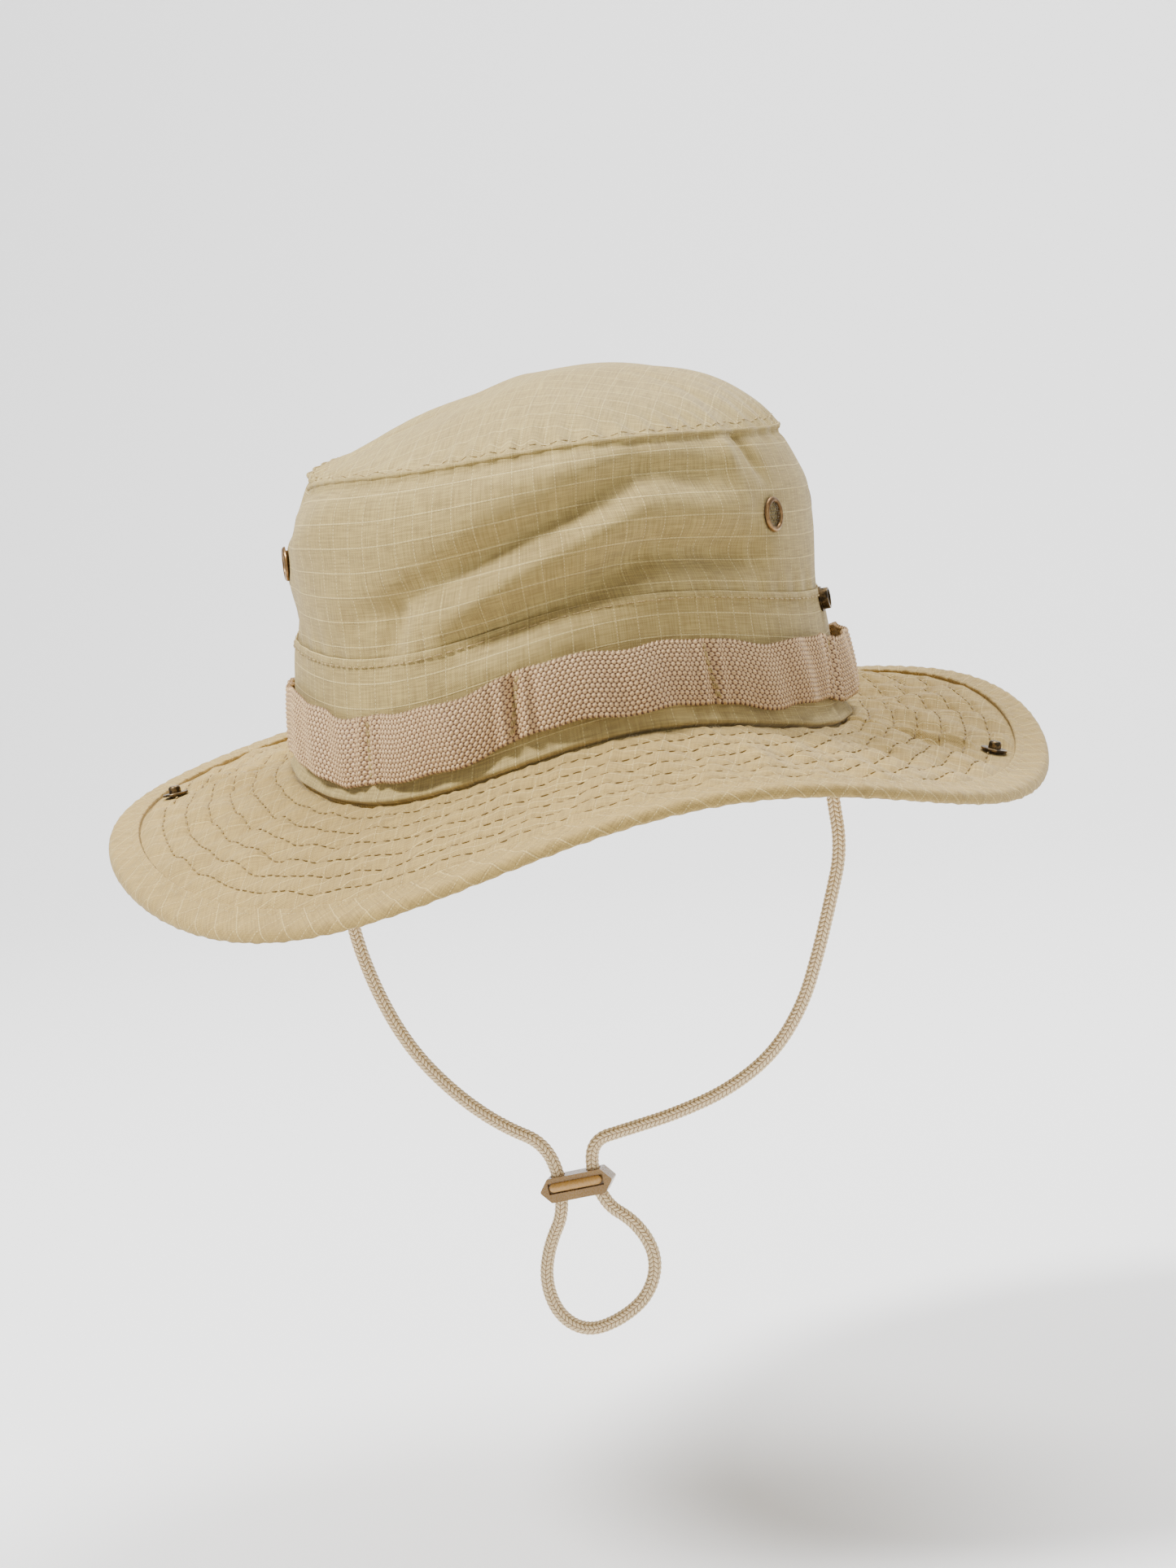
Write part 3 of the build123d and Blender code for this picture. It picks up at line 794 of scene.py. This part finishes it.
def make_tacks():
    """A bar tack across the tape at each point where it is sewn down."""
    rows = []
    across = np.linspace(0.08, 0.94, 60)
    for k, middle in enumerate(TACKS[:LOOPS]):
        slant = 0.05 * math.sin(3.0 * k + 1.0)
        for shift in (-0.5, 0.0, 0.5):
            phi = middle + shift / TACK_RADIUS + slant * (across - 0.5)
            path = webbing_surface(phi, across, 0.55)
            beside = webbing_surface(phi + 0.01, across, 0.55)
            normals = unit(np.cross(beside - path, np.gradient(path, axis=0)))
            rows.append(stitch_row(path, normals, 2.0, 0.35, 0.28))
    on_crown(stitches("webbing_tacks", rows), "webbing_weave")


# ---------------------------------------------------------------- brim

BRIM_STEPS = 1040
BRIM_ROWS = 84
RING_POINTS = 2600
QUILT_ROWS = 7
QUILT_PITCH = 0.119
BINDING_WIDTH = 10.0
BINDING_SEAM = 2.2
STUD_SHARE = 0.739
SIDES = {"left": 1, "right": -1}


def quilt(phi, share, seed):
    """Height of the quilted cloth: a groove at each stitch row, and small puckers between the rows."""
    local = np.random.RandomState(seed)
    channel = share / QUILT_PITCH
    away = np.abs(channel - np.round(channel)) * 2
    puckers = np.zeros(np.broadcast(phi, share).shape)
    for index in range(QUILT_ROWS + 3):
        near = np.clip(1 - np.abs(channel - index), 0, 1) ** 1.5
        waves = 0
        for count, size in ((53, 0.16), (89, 0.20), (131, 0.20), (173, 0.12)):
            start = local.uniform(0, TURN)
            waves = waves + size * np.sin(count * phi + start + 2.0 * np.sin(7 * phi + index))
        puckers = puckers + near * waves
    cushions = 0.80 * np.clip(away * 2.4, 0, 1) ** 0.9
    return cushions + 0.95 * puckers * (0.25 + 0.75 * np.clip(away * 3, 0, 1))


def crumple(phi, share):
    """Broad radial waves where the brim has been pressed, strongest at the sides and the back."""
    sides = 0.35 + 0.65 * np.sin(phi) ** 2 + 0.25 * (1 - np.cos(phi)) / 2
    bend = 5.0 * share
    waves = (0.7 * np.sin(17 * phi + 0.5 + bend) + 0.9 * np.sin(29 * phi + 2.0 - bend)
             + 0.75 * np.sin(43 * phi + 4.0 + 2 * bend))
    return waves * sides * np.sin(np.pi * np.clip(share, 0, 1)) ** 0.7


def side_seam(phi, share):
    """The lapped seam on each side of the brim: a folded edge, with the cloth drawn down beside it."""
    wander = 1.4 * np.sin(share * 19) + 0.6 * np.sin(share * 47)
    beyond = (np.abs(phi) - np.pi / 2) * SEAM_RADIUS + wander
    folded_edge = 1.2 * np.exp(-(beyond / 1.3) ** 2)
    drawn_down = 1.0 * np.exp(-((np.abs(beyond) - 3.0) / 1.1) ** 2)
    return folded_edge - drawn_down


def brim_face(phi, share, side):
    """The brim's upper (side 1) or lower (side -1) face, flat below the stud and the binding."""
    from_stud = np.hypot((np.abs(phi) - np.pi / 2) * STUD_RADIUS, (share - STUD_SHARE) * STUD_RUN)
    flat_spot = np.clip((from_stud - 5) / 4, 0, 1)
    seed = 11 if side > 0 else 23
    free = flat_spot * np.clip((0.84 - share) / 0.06, 0, 1)
    relief = (quilt(phi, share, seed) + side_seam(phi, share)) * free
    shape = brim_point(phi, share, crumple(phi, share) * free)
    shape[..., 2] += side * (BRIM_TOP - 0.15 + relief)
    if side > 0:
        shape[..., 2] -= 1.8 * np.exp(-(np.maximum(share, 0) / 0.03) ** 2)
    return shape


def on_brim(obj, name, layers=()):
    """A piece of the brim's left or right half, in the place of that half's CAD nodes of some layers."""
    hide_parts(*[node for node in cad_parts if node.startswith(layers)
                       and node.endswith((name, "centre"))])
    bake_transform(obj)


def quilting_row(face, share):
    """One row of quilting stitches on the brim's upper (face 1) or lower (face -1) side."""
    def at(a, s):
        return brim_face(a, np.full_like(a, share + s / QUILT_RUN), face)
    return facing(ring_row(at, count=RING_POINTS, length=2.5, gap=1.2, radius=0.34), face)


def make_brim():
    phi = round_angles(BRIM_STEPS)
    share = np.append(-0.012, np.arange(BRIM_ROWS) * QUILT_PITCH / 10)
    upper = brim_face(phi, share, 1)
    lower = brim_face(phi, share, -1)
    uv = np.concatenate([upper, upper[:1]], 0)[..., :2]
    sheets = Sheets().add(upper, uv, flip=True).add(lower, uv)
    for edge, flip in ((0, False), (-1, True)):
        rim = np.stack([upper[:, edge], lower[:, edge]], 1)
        sheets.add(rim, np.stack([uv[:, edge]] * 2, 1), flip)
    rows = [quilting_row(face, index * QUILT_PITCH) for face in (1, -1) for index in range(1, QUILT_ROWS)]
    for name, sign in SIDES.items():
        cloth = sheets.build_side(f"brim_cloth_{name}", BRIM_CLOTH, sign)
        on_brim(cloth, name, ("brim_upper", "brim_lower", "brim_interlining"))
        thread = stitches(f"brim_quilting_{name}", rows, SHADED_QUILT_THREAD, sign, rise=1.0)
        on_brim(thread, name)


def binding_profile():
    """Half-open loop of (inward from the edge, height) round the edge, upper inner edge to lower."""
    width, top, low = BINDING_WIDTH, BRIM_TOP + 0.95, -BRIM_TOP - 0.75
    profile = [(width, 0.9), (width + 0.25, top - 0.25), (width - 0.3, top + 0.25), (width - 1.2, top + 0.15),
               (width - BINDING_SEAM, top - 0.18), (width - 3.2, top + 0.05)]
    profile += [(x, top + 0.12 * math.sin(x)) for x in (5.2, 3.8, 2.4)]
    profile += [(1.2, top - 0.15), (0.45, top - 0.65), (0.05, 0.7), (0.0, 0.0), (0.05, -0.7),
                (0.45, low + 0.55)]
    profile += [(x, low + 0.1 * math.sin(x)) for x in (1.4, 3.0, 5.0, 7.0)]
    profile += [(width - BINDING_SEAM, low + 0.15), (width - 1.0, low - 0.1), (width, low + 0.3),
                (width - 0.1, -0.9)]
    return np.array(profile)


def binding_point(phi, inward, height):
    point = brim_point(phi, 1 - inward / BRIM_RUN, 0.0)
    bias = 0.12 * np.sin(173 * phi + inward * 0.9) + 0.10 * np.sin(97 * phi - inward * 0.5)
    point[..., 2] += height + np.sign(height) * bias * np.clip(np.abs(height), 0, 1)
    return point


def make_binding():
    phi = round_angles(BRIM_STEPS)
    profile = binding_profile()
    ring = binding_point(phi, profile[:, 0], profile[:, 1])
    uv = wrap_uv(np.append(phi, np.pi)[:, None] * EDGE_RADIUS, travelled(profile))
    sheets = Sheets().add(ring, uv)
    seam = BINDING_WIDTH - BINDING_SEAM
    upper = ring_row(lambda a, s: binding_point(a, seam - s, BRIM_TOP + 0.6), count=RING_POINTS)
    lower = ring_row(lambda a, s: binding_point(a, seam - s, -BRIM_TOP - 0.55), count=RING_POINTS)
    rows = [facing(upper, 1), facing(lower, -1)]
    for name, sign in SIDES.items():
        tape = sheets.build_side(f"brim_edge_tape_{name}", BIAS_CLOTH, sign)
        on_brim(tape, name, ("brim_binding",))
        on_brim(stitches(f"brim_edge_stitches_{name}", rows, sign=sign), name)


# ---------------------------------------------------------------- inside

def make_sweatband():
    phi = round_angles(CROWN_STEPS)
    z = np.linspace(-1.5, 31, 24)
    roll = np.interp(z, [-1.5, 0, 3, 28, 31], [-0.5, -0.2, -1.3, -1.3, -1.0])
    outer = crown_point(phi, z, roll - 0.2 * np.sin(40 * phi))
    obj = thick(outer, arc_uv(phi, z), SWEATBAND).build("sweatband_tape", SWEATBAND_TAPE)
    on_crown(obj, "sweatband_tape", "sweatband")


# ---------------------------------------------------------------- vents and snaps

def lathe(name, profile, place, material, steps=48):
    """A turned piece: profile is (radius, height) points, spun round the local Z axis of place."""
    turn = np.linspace(0, TURN, steps, endpoint=False)
    radius, height = np.array(profile, float).T
    grid = np.stack([radius * np.cos(turn)[:, None], radius * np.sin(turn)[:, None],
                     height + 0 * turn[:, None]], -1)
    uv = wrap_uv(np.append(turn, TURN)[:, None] * radius.max(), travelled(profile))
    return Sheets().add(set_down(grid, place), uv).build(name, material)


def outward_place(origin, normal):
    """A place whose Z axis is normal and whose X axis lies level."""
    z = Vector(normal).normalized()
    x = Vector((0, 0, 1)).cross(z).normalized()
    return Matrix.Translation(Vector(origin)) @ Matrix((x, z.cross(x), z)).transposed().to_4x4()


def node_centre(node):
    low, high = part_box(node)
    return (Vector(low) + Vector(high)) / 2 / MM


def wire_screen(name, place, radius, pitch=0.92, wire=0.2):
    """Woven wires: each passes over one neighbour and under the next, cut to a disc."""
    points, faces, count, sides = [], [], 0, 5
    turn = np.linspace(0, TURN, sides, endpoint=False)
    section = wire * 0.5 * np.stack([0 * turn, np.cos(turn), np.sin(turn)], -1)[None]
    lines = np.arange(-math.floor(radius / pitch), math.floor(radius / pitch) + 1)
    for direction in (0, 1):
        for line in lines:
            half = math.sqrt(max(radius ** 2 - (line * pitch) ** 2, 0.01))
            along = np.linspace(-half, half, max(int(half * 2 / pitch * 4), 3))
            wave = np.cos(np.pi * (along / pitch + line + direction)) * wire * 0.5
            centre = np.stack([along, 0 * along + line * pitch, wave], -1)
            ring = centre[:, None] + section
            if direction:
                ring = ring[..., [1, 0, 2]] * (1, -1, 1)
            points.append(ring.reshape(-1, 3))
            faces.append(tube_faces(len(along), sides) + count)
            count += len(along) * sides
    return write_mesh(name, set_down(np.concatenate(points), place), np.concatenate(faces), material=WIRE)


def make_vents():
    """Each vent: a rolled brass ring, and woven wire across it."""
    ring = [(3.75, -1.4), (3.75, 0.6), (3.95, 1.02), (4.35, 1.25), (4.8, 1.2), (5.25, 0.9), (5.5, 0.45),
            (5.45, 0.18), (4.2, 0.15), (4.18, -1.4), (3.75, -1.4)]
    half_x, half_y = CROWN_HALF_WIDTHS[2], CROWN_HALF_LENGTHS[2]
    for where in ("front_left", "front_right", "back_left", "back_right"):
        centre = node_centre(f"vent_screen_{where}")
        normal = Vector((centre.x / half_x ** 2, centre.y / half_y ** 2, 0)).normalized()
        place = outward_place(centre - normal * 0.35, normal)
        eyelet = lathe(f"eyelet_{where}", ring, place, BRASS)
        on_crown(eyelet, "antique_brass", f"vent_eyelet_{where}")
        screen = wire_screen(f"screen_{where}", place @ Matrix.Translation((0, 0, 0.45)), 3.8)
        on_crown(screen, "screen_wire", f"vent_screen_{where}")


# ---------------------------------------------------------------- chin cord

CORD_DIAMETER = 4.5
ANCHOR_X = 81.2
TAB_BOTTOM = -4.0
SLIDER_CENTRE = (-14.5, -142.0)
SLIDER_TILT = math.radians(7.0)
SLIDER_TOP = 4.0
HALF_SPACING = 6.0


def slider_point(across, up):
    x = SLIDER_CENTRE[0] + across * math.cos(SLIDER_TILT) - up * math.sin(SLIDER_TILT)
    z = SLIDER_CENTRE[1] + across * math.sin(SLIDER_TILT) + up * math.cos(SLIDER_TILT)
    return (x, z)


RIGHT_SIDE = [(-ANCHOR_X, TAB_BOTTOM), (-ANCHOR_X, -27), (-80.0, -51), (-74.5, -73), (-65.5, -93),
              (-52.5, -109), (-38.0, -121), slider_point(-HALF_SPACING, SLIDER_TOP + 10)]
LOOP = [slider_point(-HALF_SPACING, -SLIDER_TOP - 3), (-26.5, -162), (-29.0, -174), (-25.5, -185.5),
        (-16.5, -191), (-5.0, -187.5), (5.0, -180), (9.0, -168), (3.5, -156),
        slider_point(HALF_SPACING, -SLIDER_TOP - 3)]
LEFT_SIDE = [(ANCHOR_X, TAB_BOTTOM), (ANCHOR_X, -22), (82.5, -40), (77.0, -57), (71.5, -73),
             (65.0, -89), (54.0, -104), (38.5, -114.5), (21.0, -121), (4.5, -125),
             slider_point(HALF_SPACING, SLIDER_TOP + 9)]
CORD_ROUTE = RIGHT_SIDE + LOOP + LEFT_SIDE[::-1]


def smooth_route(route):
    """Points read from a NURBS spline with the route as its control points."""
    curve = bpy.data.curves.new("cord_route", "CURVE")
    curve.dimensions = "3D"
    curve.resolution_u = 24
    spline = curve.splines.new("NURBS")
    spline.points.add(len(route) - 1)
    for point, (x, z) in zip(spline.points, route):
        point.co = (x * MM, 0, z * MM, 1)
    spline.order_u = 3
    spline.use_endpoint_u = True
    guide = add_object("cord_route", curve)
    mesh = bpy.data.meshes.new_from_object(guide)
    points = np.array([v.co for v in mesh.vertices]) / MM
    bpy.data.objects.remove(guide)
    return points


def even_path(points, step):
    """The path in even steps, and how far along it each of the new points is."""
    travel = travelled(points)
    spots = np.linspace(0, travel[-1], int(travel[-1] / step))
    return np.stack([np.interp(spots, travel, points[:, k]) for k in range(3)], -1), spots


def make_cord():
    """A braided cord, its yarns raised in the mesh."""
    points = smooth_route(CORD_ROUTE)
    path, travel = even_path(points, BRAID_STEP)
    along = unit(np.gradient(path, axis=0))
    side = np.array([0, 1.0, 0])
    normal = unit(np.cross(along, side))
    count = BRAID_COLUMNS * COLUMN_POINTS
    column = np.arange(count) / count * BRAID_COLUMNS
    turn = column / BRAID_COLUMNS * TURN
    inside = column - np.floor(column)
    lean = np.where(np.floor(column) % 2 == 0, inside, 1 - inside)
    phase = travel[:, None] / BRAID_PITCH + lean[None] * BRAID_LEAN
    ridge = np.abs(np.sin(np.pi * phase)) ** 0.6
    crown = np.sin(np.pi * inside)[None] ** 0.5
    radius = CORD_DIAMETER / 2 - BRAID_RELIEF * (1 - ridge * (0.3 + 0.7 * crown))
    ring = path[:, None] + radius[..., None] * (np.cos(turn)[None, :, None] * normal[:, None]
                                                + np.sin(turn)[None, :, None] * side)
    tube = tube_faces(len(path), count)
    caps = []
    for start, order in ((0, 1), ((len(path) - 1) * count, -1)):
        for k in range(0, count - 2, 2):
            caps.append([start, start + k + 1, start + k + 2, start + (k + 3) % count][::order])
    faces = np.concatenate([tube, np.array(caps)])
    flat = wrap_uv(travel[:, None], column[None]).reshape(-1, 2)
    uv = flat[faces.ravel()].reshape(-1, 4, 2)
    uv[len(tube) - len(path) + 1:len(tube), 2:, 1] = BRAID_COLUMNS
    obj = write_mesh("chin_cord", ring.reshape(-1, 3), faces, uv, material=CORD_YARN)
    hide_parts("chin_cord_left", "chin_cord_right", "chin_cord_loop")
    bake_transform(obj)


def make_slider_bar():
    """The rounded bar in the slider's face, with the body's recess dark below it and beyond its ends."""
    length, radius, rise, front = 17.6, 1.5, 0.85, -3.75
    half = length / 2
    bend = np.linspace(0, np.pi / 2, 7)
    ends = [(radius * math.sin(a), radius * math.cos(a)) for a in bend]
    profile = [(r, -half + radius - x) for r, x in ends] + [(r, half - radius + x) for r, x in ends[::-1]]
    x, z = slider_point(0, rise)
    along = Vector((math.cos(SLIDER_TILT), 0, math.sin(SLIDER_TILT)))
    place = outward_place((x, front, z), along)
    bar = lathe("slider_bar_rounded", profile, place, LIT_BAR_PLASTIC, steps=32)
    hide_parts("cord_slider_bar")
    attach(bar, "cord_slider")


def dress_cad_nodes():
    """The CAD nodes that stay get their materials."""
    materials = {"vent_washers": BRASS, "snap_stud": BRONZE, "snap_socket": BRONZE,
                 "cord_anchor": ANCHOR_TAPE, "cord_slider_body": SLIDER_PLASTIC}
    for node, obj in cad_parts.items():
        for start, material in materials.items():
            if node.startswith(start):
                obj.data.materials.clear()
                obj.data.materials.append(material)


# ---------------------------------------------------------------- stage

FLOOR_COLOUR = (0.95, 0.95, 0.95, 1)
WORLD_STRENGTH = 0.44


def area_light(name, place, target, size, power):
    data = bpy.data.lights.new(name, "AREA")
    data.shape = "DISK"
    data.size = size
    data.energy = power
    lamp = add_object(name, data)
    lamp.location = place
    lamp.rotation_euler = (Vector(target) - Vector(place)).to_track_quat("-Z", "Y").to_euler()


def make_stage():
    """A pale floor that sweeps up into a backdrop."""
    reach, low, bend = 5.0, float(cad_low[2]) - 0.06, 1.2
    turn = np.linspace(0, TURN / 4, 12)
    profile = [(-reach, low)] + [(1.6 + bend * math.sin(a), low + bend * (1 - math.cos(a))) for a in turn]
    profile.append((1.6 + bend, low + 4.0))
    rows = np.array([[(x, y, z) for y, z in profile] for x in (-reach, reach)])
    faces = grid_quads(2, len(profile))
    material = bpy.data.materials.new("pale_floor")
    material.use_nodes = True
    shader = material.node_tree.nodes["Principled BSDF"]
    shader.inputs["Base Color"].default_value = FLOOR_COLOUR
    shader.inputs["Roughness"].default_value = 0.9
    floor = write_mesh("floor", rows.reshape(-1, 3) / MM, faces, material=material)
    world = bpy.data.worlds.new("studio")
    world.use_nodes = True
    colour, strength = world.node_tree.nodes["Background"].inputs[:2]
    colour.default_value = WHITE
    strength.default_value = WORLD_STRENGTH
    bpy.context.scene.world = world
    area_light("key", (-0.85, -0.65, 1.4), (0, 0, 0.03), 0.4, 60)
    area_light("fill", (1.3, -0.8, 0.6), (0, 0, 0), 1.0, 6)
    area_light("top", (0.4, 0.3, 1.6), (0, 0, 0.05), 0.9, 32)
    area_light("backdrop", (0, 0.9, 1.8), (0, 2.6, 0.6), 2.0, 74)


make_camera()
make_slider_bar()
make_cord()
make_sidewall()
make_lower_band()
make_crown_top()
make_top_seam()
make_webbing()
make_tacks()
make_brim()
make_binding()
make_sweatband()
make_vents()
dress_cad_nodes()
make_stage()
